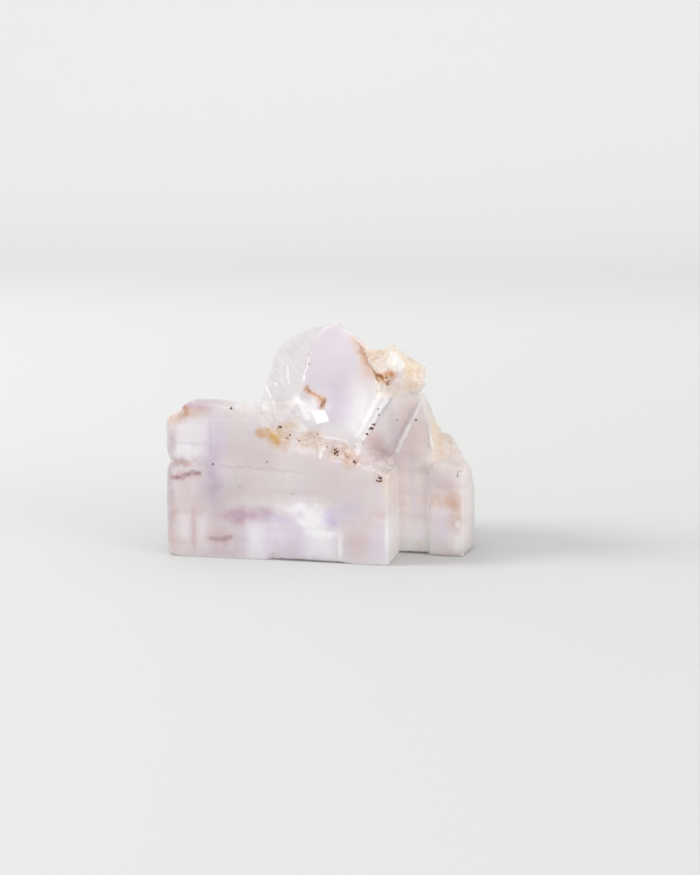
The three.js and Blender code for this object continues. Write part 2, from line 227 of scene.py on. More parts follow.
print("facets:", len(facet_area))
print("the front face is met at mm:", [round(c / MM, 2) for c in seen_at(*FRONT_FACE)[0]])

# %% [markdown]
# ## The crystal's surface
# A copy of the solid gets an even grid that keeps its sharp edges, and then every vertex is moved a
# little, as weather and the hammer did: breaks get small tilted facets, the curved flank gets ribs, and
# the clean faces stay flat but lose the sharpness of their edges.

# %% An even grid
CELL = 0.254 * MM  # the finest that keeps the crystal under 200,000 triangles
GRID_DEPTH = 8
FULL_SCALE = 0.99  # the most that the grid's scale can be
GRID_TURN = Matrix.Rotation(0.4, 4, Vector((1, 2, 3)))  # keeps faces off the grid's own planes


def apply_modifiers(piece):
    """Makes the shape that the modifiers give the piece's own mesh."""
    graph = bpy.context.evaluated_depsgraph_get()
    finished = bpy.data.meshes.new_from_object(piece.evaluated_get(graph))
    piece.modifiers.clear()
    piece.data = finished


def even_out(verts, rounds, factor=0.5):
    """Moves each vertex towards the middle of its neighbours, round after round."""
    moving = set(verts)
    beside = {v: [edge.other_vert(v) for edge in v.link_edges] for v in verts}
    ring = {other for others in beside.values() for other in others} - moving
    number = {v: index for index, v in enumerate([*verts, *ring])}
    rows = np.array([number[v] for v, others in beside.items() for _ in others])
    columns = np.array([number[other] for others in beside.values() for other in others])
    share = 1 / np.bincount(rows)
    places = np.array([v.co for v in number])
    for _ in range(rounds):
        means = np.stack([np.bincount(rows, places[columns, axis]) * share for axis in range(3)], axis=1)
        places[: len(verts)] += factor * (means - places[: len(verts)])
    for v, place in zip(verts, places):
        v.co = place


def new_piece(name, bm):
    """Turns a bmesh into an object of the scene."""
    mesh = bpy.data.meshes.new(name)
    bm.to_mesh(mesh)
    bm.free()
    piece = bpy.data.objects.new(name, mesh)
    bpy.context.scene.collection.objects.link(piece)
    return piece


crystal = new_piece("fluorite", merged_copy(cad_crystal))
crystal.data.transform(GRID_TURN)
grid = crystal.modifiers.new("even grid", "REMESH")
grid.mode = "SHARP"
grid.octree_depth = GRID_DEPTH
grid.scale = min(FULL_SCALE, max(crystal.dimensions) / (CELL * 2**GRID_DEPTH))
apply_modifiers(crystal)
crystal.data.transform(GRID_TURN.inverted())
print("even grid:", len(crystal.data.polygons), "faces")

# %% [markdown]
# The leaning cube, its curved flank, the crust, the ledge and the wing broke and weathered in different
# ways, so each vertex has to know which of them it lies on. Painting groups of vertices by hand would be
# lost when the solid changes. A rule that looks at the place, and at how wide the facet under it is,
# finds them again.

# %% Zones
CLEAN_FACET = 9.0  # mm2: a wider facet is a clean face, a smaller one belongs to a break
FAR = 99  # mm, beyond the crystal

TWIN_CORNER = Vector((6.3, -8.975, 17.06)) * MM  # the lowest front corner of the leaning cube
TWIN_TURN = (
    Matrix.Rotation(math.radians(-28.1), 4, "Z")
    @ Matrix.Rotation(math.radians(-20.8), 4, "X")
    @ Matrix.Rotation(math.radians(-65.5), 4, "Y")
)
to_twin = (Matrix.Translation(TWIN_CORNER) @ TWIN_TURN).inverted()
EVENING = 8  # rounds of evening out inside a facet

# Limits in mm along the leaning cube's own axes: across its front face, inward and up.
CHIP = ((-3, 2.6), (-1, 0.9), (6, 13.8))
FLANK = ((-7, 13), (0.02, 3), (8, FAR))
# Limits in mm along the frame's axes.
WING = ((10.9, FAR), (-10.8, 0), (-FAR, FAR))
WING_BREAK = ((14.3, FAR), (-FAR, 3), (11, FAR))
LEDGE = ((-FAR, FAR), (-FAR, -1.5), (12.5, 23))
LEDGE_END = 11.2  # across, where the ledge gives way to the wing
TWIN_DEPTH, TWIN_FOOT = (-1, 1.2), 16  # inward, and the height that the leaning cube starts at
CRUST_MIDDLE, CRUST_REACH, CRUST_FOOT = Vector((11.6, -5.8, 27.3)), 5.2, 23.6
CRUST_PROUD, CRUST_ACROSS = -0.4, 11.4  # inward and across of the leaning cube
CRUST_RIGHT, CRUST_TOP = 8.5, 30


def in_twin(place):
    """A point in mm as the leaning cube sees it: across its front face, into it, and up it."""
    return (to_twin @ (place * MM)) / MM


def within(place, limits):
    """Whether each part of a place lies between its two limits."""
    return all(low < part < high for part, (low, high) in zip(place, limits))


def on_crust(place, across, inward):
    """Whether a point in mm belongs to the crust, a lump beside and behind the leaning cube's corner."""
    if (place - CRUST_MIDDLE).length >= CRUST_REACH or place.z <= CRUST_FOOT:
        return False
    return inward < CRUST_PROUD or across > CRUST_ACROSS or place.x > CRUST_RIGHT or place.z > CRUST_TOP


def zone_of(place, area):
    """Which surface a point in mm belongs to, on a facet of this area in mm2."""
    twin_place = in_twin(place)
    across, inward, _ = twin_place
    if within(twin_place, CHIP):
        return "chip"
    if on_crust(place, across, inward):
        return "crust"
    if area >= CLEAN_FACET:
        if TWIN_DEPTH[0] < inward < TWIN_DEPTH[1] and place.z > TWIN_FOOT:
            return "twin"
        return "wing" if within(place, WING) else "face"
    if within(twin_place, FLANK):
        return "flank"
    if within(place, WING_BREAK):
        return "wing break"
    if within(place, LEDGE):
        return "ledge" if place.x < LEDGE_END else "wing"
    return "back"


bm = bmesh.new()
bm.from_mesh(crystal.data)
zones = {}
facet_of = {}
for vert in bm.verts:
    _, _, index, _ = facet_tree.find_nearest(vert.co)
    facet_of[vert] = index
    zones.setdefault(zone_of(vert.co / MM, facet_area[index]), []).append(vert)
print("vertices in each zone:", {name: len(verts) for name, verts in zones.items()})

# Inside a facet the grid is evened out, because smoothing can't move its vertices off the plane.
inside = [v for v in bm.verts if all(facet_of[e.other_vert(v)] == facet_of[v] for e in v.link_edges)]
even_out(inside, EVENING)
print("vertices inside a facet:", len(inside))

# %% [markdown]
# A break through fluorite is a patchwork of small cleavage facets, each tilted its own way, with finer
# grain on them. The curved flank broke more like glass, in ribs, and the wing in upright splinters. All
# of it is low, so moving the grid's vertices along their normals makes it, and it shows at the outline
# too, which bump can't do. Handling wears the edges unevenly, so they are rounded in patches.

# %% Worn edges and filled hollows
ROUNDS = {"flank": 8, "ledge": 2, "wing break": 2, "crust": 4, "back": 2, "chip": 2}
# Hollows that rubble has filled: across, down, reach in mm.
CREVICES = [
    (389, 461, 1.0),
    (303, 440, 2.2),
    (296, 416, 3.6),
    (319, 404, 1.9),
    (268, 420, 1.4),
    (387, 363, 1.4),
]
CREVICE_ROUNDS = 280
SHARP_EDGE = math.radians(25)  # an edge that bends more is worn
EDGE_WEAR = 0.35
# More wear in patches: their wavelength in mm, the level of noise that they start at, and the wear.
WORN_PATCHES = [(1.7, -0.25, 0.5), (0.9, 0.2, 0.8)]

for name, rounds in ROUNDS.items():
    even_out(zones[name], rounds)

for across, down, reach in CREVICES:
    middle, _ = seen_at(across, down)
    near = [v for v in bm.verts if (v.co - middle).length < reach * MM]
    even_out(near, CREVICE_ROUNDS)

sharp = [e for e in bm.edges if e.is_manifold and e.calc_face_angle() > SHARP_EDGE]
edge_verts = list({v for e in sharp for v in e.verts})
even_out(edge_verts, 1, EDGE_WEAR)
for wavelength, level, wear in WORN_PATCHES:
    worn = [v for v in edge_verts if noise.noise(v.co / MM / wavelength) > level]
    even_out(worn, 1, wear)
print("vertices on sharp edges:", len(edge_verts))

# %% Broken ground
# For each zone: how deep in mm its small tilted facets and its fine roughness are, and how wide a facet is.
GROUND = {
    "ledge": (0.34, 0.1, 0.9),
    "wing break": (0.16, 0.06, 1.3),
    "crust": (0.3, 0.2, 0.6),
    "back": (0.14, 0.04, 1.5),
    "flank": (0.0, 0.02, 1.0),
}
ROUGH_WAVELENGTH = 0.35  # mm
TILT_STEP = 3.7  # takes each facet to its own spot of the noise, so neighbours tilt differently
RIB_FOCUS = (4, 4)  # mm across and up the leaning cube, the middle of the flank's ribs
RIB_PACE, RIB_BEND = 2.4, 1.5  # radians for each mm outward, and how far noise bends the ribs, in radians
RIB_BEND_WAVELENGTH = 2.5  # mm
STREAK_STRETCH = (1.8, 0.25)  # bumps for each mm across and up, so the streaks run up the flank
RIB_HEIGHT, STREAK_HEIGHT = 0.04, 0.05  # mm
FIN_HEIGHT = 0.16  # mm
FIN_STRETCH = Vector((1.1, 1.1, 0.18))  # bumps for each mm, so the fins are narrow and upright
FIN_SHARPNESS = 0.6
CREASE = math.radians(34)  # an edge that still bends more is shaded as a crease


def hackle(place, size):
    """Height of broken ground: small facets, each tilted its own way."""
    spot = place / size
    _, centres = noise.voronoi(spot)
    return (spot - centres[0]).dot(noise.noise_vector(centres[0] * TILT_STEP))


def flank_ribs(place):
    """Faint curved ribs of a shell-like break, with streaks running up the flank."""
    across, _, up = in_twin(place)
    outward = math.hypot(across - RIB_FOCUS[0], up - RIB_FOCUS[1])
    rib = math.sin(RIB_PACE * outward + RIB_BEND * noise.noise(place / RIB_BEND_WAVELENGTH))
    streak = noise.noise(Vector((across * STREAK_STRETCH[0], up * STREAK_STRETCH[1], 0)))
    return RIB_HEIGHT * rib + STREAK_HEIGHT * streak


def fins(place):
    """Upright splinters of the wing break, side by side."""
    ripple = abs(noise.noise(place * FIN_STRETCH))
    return FIN_HEIGHT * (1 - 2 * ripple**FIN_SHARPNESS)


bm.normal_update()
for name, (deep, fine, size) in GROUND.items():
    for vert in zones[name]:
        place = vert.co / MM
        height = deep * hackle(place, size) + fine * noise.noise(place / ROUGH_WAVELENGTH)
        if name == "flank":
            height += flank_ribs(place)
        if name == "wing break":
            height += fins(place)
        vert.co += vert.normal * height * MM
bmesh.ops.triangulate(bm, faces=bm.faces, quad_method="SHORT_EDGE")
bm.to_mesh(crystal.data)
bm.free()
crystal.data.shade_smooth()
crystal.data.set_sharp_from_angle(angle=CREASE)
print("crystal:", len(crystal.data.polygons), "triangles")

# %% [markdown]
# ## Colour
# Fluorite takes its colour from traces taken up while it grew, so lilac and white lie in soft columns,
# layers and clouds, and iron stained the breaks later. A texture for all of it would be a long chain of
# nodes. The grid is fine enough to carry soft colour itself, so each vertex gets the pale tint of its
# zone, and then the marks that reach it. The material reads that tint, and its nodes add only what is
# finer than the grid.

# %% Tints
def colour(code):
    """A colour written as six hex digits, as the linear values that shaders use."""
    parts = [int(code[i : i + 2], 16) / 255 for i in (0, 2, 4)]
    return (*(c / 12.92 if c <= 0.04045 else ((c + 0.055) / 1.055) ** 2.4 for c in parts), 1)


ZONE_TINT = {
    "face": colour("e2dcdc"),
    # The wing and the side strip lie in the front block's shadow, so their tint is paler: painted light that
    # stands for light passing through the block.
    "wing": colour("f1e7e4"),
    # The leaning cube's face turns to the window light, so its tint is darker than the front face's: part
    # deeper lilac, part painted shade that offsets the lamp. The chip shares it.
    "twin": colour("c0b9bf"),
    "chip": colour("c0b9bf"),
    "flank": colour("d3cfd1"),
    "wing break": colour("ecdfd6"),
    "crust": colour("f7e8dd"),
    "ledge": colour("e3d8d7"),
    "back": colour("e5dbd9"),
}
ZONE_BROKEN = {"flank": 0.2, "wing break": 0.8, "crust": 1, "ledge": 1, "back": 0.7}  # the rest are clean
TINT = {
    "white": colour("ffffff"),
    # painted glow: light gathered inside the milky body, or coming through a clear window, painted as colour
    "painted glow": colour("fbfaff"),
    "lilac": colour("dfd4ea"),
    "violet": colour("c4b2d8"),
    "purple": colour("b49db8"),
    "magenta": colour("b589a5"),
    "rose": colour("c89d9d"),
    "red brown": colour("986e72"),
    "grey": colour("a59da5"),
    "tan": colour("c8a285"),
    "cream": colour("f3dbc2"),
    "straw": colour("eacb9d"),
    "orange": colour("d49652"),
    "ochre": colour("d1a354"),
    "rust": colour("9e5f1a"),
    "umber": colour("673812"),
    "dusk": colour("d0c2c0"),
    "blush": colour("ddcbc8"),
    "frost": colour("fdf8f6"),
}
print("tints:", len(ZONE_TINT), "for zones and", len(TINT), "for marks")

# %% [markdown]
# The marks come in three shapes. A cloud is round and mottled, as a stain or a milky patch is. A haze is
# round and even, as colour deep in the crystal looks. A band is a straight-sided box that runs right
# through the crystal, as a layer of growth does. They are painted in the order of the list, so a later
# one covers part of an earlier one. Some of them are painted light and shade rather than the crystal's
# colour: painted glow where light gathers inside, painted highlights on edges, and painted light or shade
# where the lamps leave a place too dark or too bright.

# %% Clouds, hazes and bands
# Shape, tint, share, across, down, half width, half height, softness.
MARKS = [
    ("haze", "dusk", 0.4, 352, 492, 46, 34, 0.9),
    ("haze", "dusk", 0.45, 198, 524, 46, 44, 0.8),
    ("haze", "grey", 0.8, 167, 500, 6, 70, 0.8),
    ("haze", "dusk", 0.3, 252, 492, 30, 14, 0.9),
    ("haze", "lilac", 0.55, 288, 542, 54, 19, 0.5),
    ("haze", "lilac", 0.5, 216, 442, 10, 24, 0.9),
    # Painted glow in a clear window at the top left, where light comes through.
    ("band", "painted glow", 0.5, 192, 439, 17, 18, 0.4),
    ("cloud", "painted glow", 0.45, 186, 450, 12, 8, 0.9),
    ("band", "grey", 0.3, 188, 443, 13, 0.9, 0.9),
    ("band", "red brown", 0.25, 172.5, 441, 3.5, 10, 0.8),
    ("band", "purple", 0.2, 210.5, 440, 1.5, 20, 0.9),
    ("haze", "purple", 0.35, 211, 486, 12, 30, 0.9),
    ("haze", "purple", 0.4, 213, 480, 7, 20, 0.9),
    # Painted shade in the notch on the left edge, tinted red-brown.
    ("cloud", "red brown", 0.55, 177, 462, 10, 4.5, 0.9),
    ("cloud", "rose", 0.5, 187, 463, 9, 3, 0.9),
    ("cloud", "rose", 0.35, 184, 476, 16, 4, 0.8),
    ("band", "dusk", 0.4, 181, 528, 17, 26, 0.6),
    # Painted glow in two clear windows low on the left, where light comes through.
    ("band", "painted glow", 0.45, 185, 528, 6, 18, 0.9),
    ("band", "painted glow", 0.35, 202, 530, 5, 16, 0.9),
    ("band", "rose", 0.25, 193.5, 532, 2, 24, 0.8),
    ("cloud", "tan", 0.2, 173, 524, 4, 34, 0.9),
    ("cloud", "rose", 0.25, 188, 511, 22, 3, 0.9),
    ("cloud", "rose", 0.2, 183, 541, 15, 2, 0.9),
    ("cloud", "rose", 0.35, 222, 538, 15, 8, 0.9),
    ("cloud", "magenta", 0.5, 244, 516, 21, 7, 0.9),
    ("cloud", "magenta", 0.4, 234, 519, 9, 6, 0.8),
    ("cloud", "magenta", 0.35, 262, 514, 12, 5, 0.8),
    ("cloud", "violet", 0.5, 283, 519, 20, 4, 0.9),
    ("cloud", "magenta", 0.3, 226, 553, 18, 6, 0.9),
    # Painted glow and painted reflections low in the body, where light gathers inside it; the violet spot
    # among them is colour.
    ("band", "painted glow", 0.6, 256, 540, 7, 16, 0.9),
    ("cloud", "painted glow", 0.25, 272, 538, 18, 12, 0.9),
    ("cloud", "painted glow", 0.6, 305, 512, 24, 11, 0.8),
    ("cloud", "painted glow", 0.8, 300, 508, 10, 5, 0.8),
    ("cloud", "white", 1.0, 311, 519, 10, 10, 0.6),
    ("cloud", "painted glow", 0.9, 322, 520, 7, 7, 0.8),
    ("cloud", "violet", 0.5, 331, 520, 8, 9, 0.8),
    ("band", "painted glow", 0.7, 319, 545, 15, 14, 0.7),
    ("cloud", "white", 1.0, 319, 534, 14, 4, 0.7),
    ("band", "white", 0.8, 340.5, 548, 2, 12, 0.9),
    ("cloud", "violet", 0.25, 347, 512, 14, 12, 0.9),
    ("haze", "rose", 0.2, 355, 545, 11, 14, 0.9),
    ("haze", "lilac", 0.5, 378, 546, 9, 17, 0.9),
    ("cloud", "rose", 0.35, 379, 515, 7, 3, 0.8),
    # Painted highlight along the front block's right edge.
    ("band", "white", 0.7, 387, 537, 1.5, 16, 0.8),
    ("cloud", "orange", 0.3, 395, 547, 6, 9, 0.8),
    # Painted light on the foot of the wing and on the side strip beside it, where shade falls.
    ("haze", "white", 0.5, 412, 542, 20, 22, 0.8),
    ("cloud", "white", 0.4, 394, 548, 6, 14, 0.8),
    ("haze", "white", 1.0, 421, 546, 11, 10, 0.8),
    ("cloud", "orange", 0.2, 423, 545, 9, 6, 0.9),
    ("cloud", "orange", 0.3, 444, 501, 18, 6, 0.9),
    ("cloud", "tan", 0.6, 456, 513, 8, 17, 0.8),
    ("cloud", "rust", 0.2, 458, 516, 3, 7, 0.8),
    ("cloud", "lilac", 0.4, 441, 529, 10, 17, 0.8),
    ("cloud", "white", 0.9, 458, 525, 2, 4, 0.5),
    ("cloud", "white", 0.6, 457, 543, 4, 8, 0.6),
    # Painted shade on the wing's right side face.
    ("band", "dusk", 0.45, 473, 516, 8, 50, 0.7),
    ("band", "white", 0.25, 466, 516, 3, 44, 0.7),
    ("band", "red brown", 0.2, 441, 462, 11, 0.8, 0.8),
    ("band", "white", 0.5, 429, 510, 1.8, 46, 0.9),
    ("band", "white", 0.4, 448, 461, 18, 1.2, 0.9),
    ("band", "red brown", 0.2, 448, 487, 17, 0.8, 0.8),
    ("haze", "rose", 0.45, 381, 451, 7, 9, 0.9),
    ("haze", "rose", 0.75, 374, 440, 7, 9, 0.9),
    ("haze", "violet", 0.3, 338, 403, 15, 15, 0.9),
    ("haze", "violet", 0.15, 330, 370, 20, 26, 0.9),
    ("haze", "white", 0.4, 363, 408, 19, 32, 0.9),
    ("haze", "white", 0.28, 330, 434, 36, 12, 0.8),
    ("cloud", "white", 0.6, 260, 408, 26, 11, 0.7),
    # Painted light that fills the shade in the hollow beside the mound and on the chip's shaded facet.
    ("cloud", "white", 0.5, 290, 414, 14, 14, 0.8),
    ("cloud", "white", 0.6, 304, 430, 12, 12, 0.9),
    ("cloud", "white", 0.5, 319, 404, 10, 9, 0.9),
    ("cloud", "cream", 0.3, 325, 447, 14, 6, 0.8),
    ("cloud", "dusk", 0.85, 338, 444, 14, 6, 0.8),
    ("cloud", "ochre", 0.8, 267, 434, 10, 6, 0.6),
    ("cloud", "ochre", 0.8, 279, 441, 9, 7, 0.6),
    ("cloud", "rust", 0.25, 282, 443, 5, 4, 0.8),
    ("cloud", "orange", 0.3, 263, 433, 5, 3, 0.8),
    ("cloud", "white", 0.4, 287, 428, 9, 6, 0.8),
    ("cloud", "ochre", 0.4, 287, 428, 8, 4.5, 0.7),
    ("cloud", "straw", 0.5, 311, 440, 13, 8, 0.7),
    ("haze", "dusk", 0.35, 313, 440, 10, 6, 0.8),
    ("cloud", "orange", 0.3, 338, 452, 8, 5, 0.9),
    ("cloud", "orange", 0.45, 347, 457, 5, 6, 0.9),
    ("cloud", "tan", 0.7, 352, 460, 8, 6, 0.9),
    ("cloud", "tan", 0.3, 380, 478, 8, 7, 0.9),
    ("cloud", "straw", 0.3, 389, 484, 6, 13, 0.8),
    ("cloud", "rust", 0.8, 183.5, 409, 5, 8, 0.7),
    ("cloud", "orange", 0.4, 174, 419, 8, 6, 0.9),
    ("cloud", "orange", 0.3, 187, 412, 9, 6, 0.9),
    ("cloud", "tan", 0.5, 198, 407, 11, 7, 0.9),
    ("cloud", "dusk", 0.6, 219, 402, 16, 4, 0.8),
    ("cloud", "purple", 0.5, 194, 402, 9, 3.5, 0.7),
    ("haze", "rust", 0.4, 184, 409, 4, 8, 0.9),
    ("haze", "purple", 0.35, 204, 405, 13, 4.5, 0.9),
    ("cloud", "cream", 0.75, 390, 352, 32, 26, 0.7),
    ("cloud", "tan", 0.6, 375, 357, 11, 9, 0.8),
    ("cloud", "straw", 0.5, 413, 369, 9, 10, 0.8),
    ("cloud", "orange", 0.2, 407, 386, 12, 5, 0.9),
    # Painted highlight: the soft rim of the crust's bright facet.
    ("cloud", "white", 0.35, 392, 362, 9, 14, 0.9),
    ("cloud", "lilac", 0.35, 398, 379, 5, 10, 0.9),
    ("haze", "orange", 0.3, 365, 362, 6, 13, 0.9),
    ("haze", "rose", 0.3, 368, 373, 8, 12, 0.9),
    ("cloud", "orange", 0.8, 382, 378, 9, 5, 0.8),
    ("cloud", "straw", 0.35, 437, 432, 13, 18, 0.9),
    ("cloud", "dusk", 0.45, 454, 444, 10, 18, 0.9),
    ("cloud", "tan", 0.2, 442, 444, 6, 10, 0.9),
    ("haze", "dusk", 0.5, 412, 438, 14, 26, 0.9),
    ("haze", "dusk", 0.35, 441, 477, 16, 16, 0.9),
]
# Growth left faint columns, layers and clouds: tint, share, and the wavelength in mm along each axis.
GROWTH = [
    ("lilac", 0.6, (1.5, 12, 12)),
    ("white", 0.25, (0.6, 12, 7)),
    ("dusk", 0.5, (14, 14, 1.2)),
    ("dusk", 0.3, (9, 14, 0.5)),
    ("blush", 0.6, (6, 6, 6)),
]
GROWN = ("face", "wing")
print("clouds, hazes and bands:", len(MARKS))

# %% [markdown]
# An ellipse with a clean outline would look drawn. So every place is shifted a little by noise before it
# is measured against a mark, which bends the mark's outline, and more noise makes the colour uneven
# inside it. The measuring is done for all the vertices at once, because there are about a hundred marks.

# %% The shape of a mark
MARK_DEPTH = 3.5  # mm, how far a cloud or a haze reaches from front to back, each way
WANDER = {"cloud": 0.5, "haze": 0.5, "band": 0.08}  # mm, how far a mark's outline strays
BROAD_BEND, FINE_BEND, FINE_SHARE = 1.6, 0.5, 0.6  # wavelengths in mm, and how strong the finer one is
MOTTLE = {"cloud": 0.8, "haze": 0.25, "band": 0}  # how uneven a mark's colour is
MOTTLE_WAVELENGTH = 1.2  # mm
MOTTLE_FRACTAL = (1, 2, 4)  # how fast finer bumps fade, how much finer each is, and how many there are
THINNEST, THICKEST = 0.2, 1.4


def stray(place):
    """How far a mark's outline strays at a place in mm: broad bends, and smaller ones on them."""
    return noise.noise_vector(place / BROAD_BEND) + FINE_SHARE * noise.noise_vector(place / FINE_BEND)


def smooth_share(distance, soft):
    """1 inside a mark, 0 outside, with a smooth step at its edge, where distance is 1."""
    step = np.clip((1 + soft - distance) / (2 * soft), 0, 1)
    return step * step * (3 - 2 * step)


def from_mark(places, across, down, half_wide, half_high):
    """Each place measured from a mark's middle, in units of the mark's half sizes."""
    middle = np.array(seen_at(across, down)[0]) / MM
    return (places - middle) / (half_wide / UNITS_PER_MM, MARK_DEPTH, half_high / UNITS_PER_MM)


def mark_cover(shape, places, mottle, area, soft):
    """How much of a mark of full strength lies on each place."""
    offset = from_mark(places, *area)
    if shape == "band":
        distance = np.abs(offset)[:, (0, 2)].max(axis=1)
    else:
        distance = np.linalg.norm(offset, axis=1)
    uneven = np.clip(1 + MOTTLE[shape] * mottle, THINNEST, THICKEST)
    return uneven * smooth_share(distance, soft)


print("cover at a mark's middle, edge and outside:", smooth_share(np.array([0, 1, 2]), 0.5))

# %% Painting the vertices
ZONE_BLUR = 4  # rounds


def blur(piece, values, rounds):
    """Lets each vertex's values run into those of its neighbours, so that zones meet softly."""
    ends = np.array([edge.vertices for edge in piece.data.edges])
    here, there = np.concatenate([ends, ends[:, ::-1]]).T
    share = 1 / np.bincount(here)[:, None]
    for _ in range(rounds):
        means = np.stack([np.bincount(here, column[there]) for column in values.T], axis=1) * share
        values = (values + means) / 2
    return values


def add_growth(places, tints, zone_names):
    """Lays the growth columns, layers and clouds over the clean faces."""
    grown = np.array([name in GROWN for name in zone_names])
    for name, share, wavelengths in GROWTH:
        waves = np.array([noise.noise(Vector(spot)) for spot in places / wavelengths])
        cover = (grown * np.clip(share * waves, 0, 1))[:, None]
        tints = tints * (1 - cover) + np.array(TINT[name]) * cover
    return tints


def add_marks(places, tints):
    """Lays the clouds, hazes and bands over the tints, in their order."""
    strays = np.array([stray(Vector(place)) for place in places])
    spots = places / MOTTLE_WAVELENGTH
    mottle = np.array([noise.fractal(Vector(spot), *MOTTLE_FRACTAL) for spot in spots])
    for shape, name, share, *area, soft in MARKS:
        cover = share * mark_cover(shape, places + WANDER[shape] * strays, mottle, area, soft)
        cover = np.clip(cover, 0, 1)[:, None]
        tints = tints * (1 - cover) + np.array(TINT[name]) * cover
    return tints


def paint_vertices(piece):
    """Stores the tint and the broken share of each vertex as attributes."""
    places = np.array([vert.co for vert in piece.data.vertices]) / MM
    zone_names = []
    for place in places:
        _, _, index, _ = facet_tree.find_nearest(Vector(place) * MM)
        zone_names.append(zone_of(Vector(place), facet_area[index]))
    tints = blur(piece, np.array([ZONE_TINT[name] for name in zone_names]), ZONE_BLUR)
    tints = add_marks(places, add_growth(places, tints, zone_names))
    piece.data.attributes.new("tint", "FLOAT_COLOR", "POINT").data.foreach_set("color", tints.ravel())
    broken = [ZONE_BROKEN.get(name, 0) for name in zone_names]
    piece.data.attributes.new("broken", "FLOAT", "POINT").data.foreach_set("value", broken)


paint_vertices(crystal)
print("attributes:", [a.name for a in crystal.data.attributes if a.name in ("tint", "broken")])

# %% [markdown]
# ## The crystal's material
# Joining nodes by hand takes three lines for each. A small helper does it in one call, so that the recipe
# of a material reads from top to bottom. It starts from the tint on the vertices, and adds a frost of
# white grain on the breaks.

# %% Material tools, and the tint
class Recipe:
    """Adds nodes to one material, so that a step of the recipe is one short call."""

    def __init__(self, material):
        material.use_nodes = True
        self.tree = material.node_tree
        self.shader = self.tree.nodes["Principled BSDF"]
        self.output = self.tree.nodes["Material Output"]

    def feed(self, socket, value):
        """Links a socket to another one, or sets its value."""
        if isinstance(value, bpy.types.NodeSocket):
            self.tree.links.new(value, socket)
        else:
            socket.default_value = value

    def node(self, kind, inputs=None, **settings):
        """A node of this kind, with its inputs fed and its settings set."""
        made = self.tree.nodes.new(kind)
        for name, value in settings.items():
            setattr(made, name, value)
        for name, value in (inputs or {}).items():
            self.feed(made.inputs[name], value)
        return made

    def noise(self, place, wavelength, detail=2):
        """Smooth noise with bumps about one wavelength, in mm, apart."""
        inputs = {"Vector": place, "Scale": 1 / (wavelength * MM), "Detail": detail}
        return self.node("ShaderNodeTexNoise", inputs)

    def ramped_noise(self, place, wavelength, ramp, detail=2):
        """The same noise as a value, stepped smoothly from one level to another."""
        return self.ramp(self.noise(place, wavelength, detail).outputs["Fac"], *ramp)

    def math(self, operation, *values, clamp=False):
        """One step of arithmetic on plain values."""
        made = self.node("ShaderNodeMath", dict(enumerate(values)), operation=operation, use_clamp=clamp)
        return made.outputs[0]

    def vector(self, operation, *values):
        """One step of arithmetic on vectors."""
        made = self.node("ShaderNodeVectorMath", dict(enumerate(values)), operation=operation)
        return made.outputs["Value" if operation in ("LENGTH", "DOT_PRODUCT") else "Vector"]

    def ramp(self, value, low, high, start, end):
        """A smooth step from start to end as value goes from low to high."""
        inputs = {"Value": value, "From Min": low, "From Max": high, "To Min": start, "To Max": end}
        return self.node("ShaderNodeMapRange", inputs, interpolation_type="SMOOTHSTEP").outputs["Result"]

    def mix(self, under, over, share):
        """One colour laid over another."""
        return self.node("ShaderNodeMix", {0: share, 6: under, 7: over}, data_type="RGBA").outputs[2]


# Every ramp: the noise it starts and ends at, and the values there.
FROST_WAVELENGTH, FROST_RAMP = 0.6, (0.5, 0.7, 0.0, 0.5)

crystal_material = bpy.data.materials.new("milky fluorite")
recipe = Recipe(crystal_material)
place = recipe.node("ShaderNodeTexCoord").outputs["Object"]
tint = recipe.node("ShaderNodeAttribute", attribute_name="tint").outputs["Color"]
broken_share = recipe.node("ShaderNodeAttribute", attribute_name="broken").outputs["Fac"]
frost = recipe.ramped_noise(place, FROST_WAVELENGTH, FROST_RAMP, detail=3)
paint = recipe.mix(tint, TINT["frost"], recipe.math("MULTIPLY", broken_share, frost))
print("nodes in the tint:", len(recipe.tree.nodes))
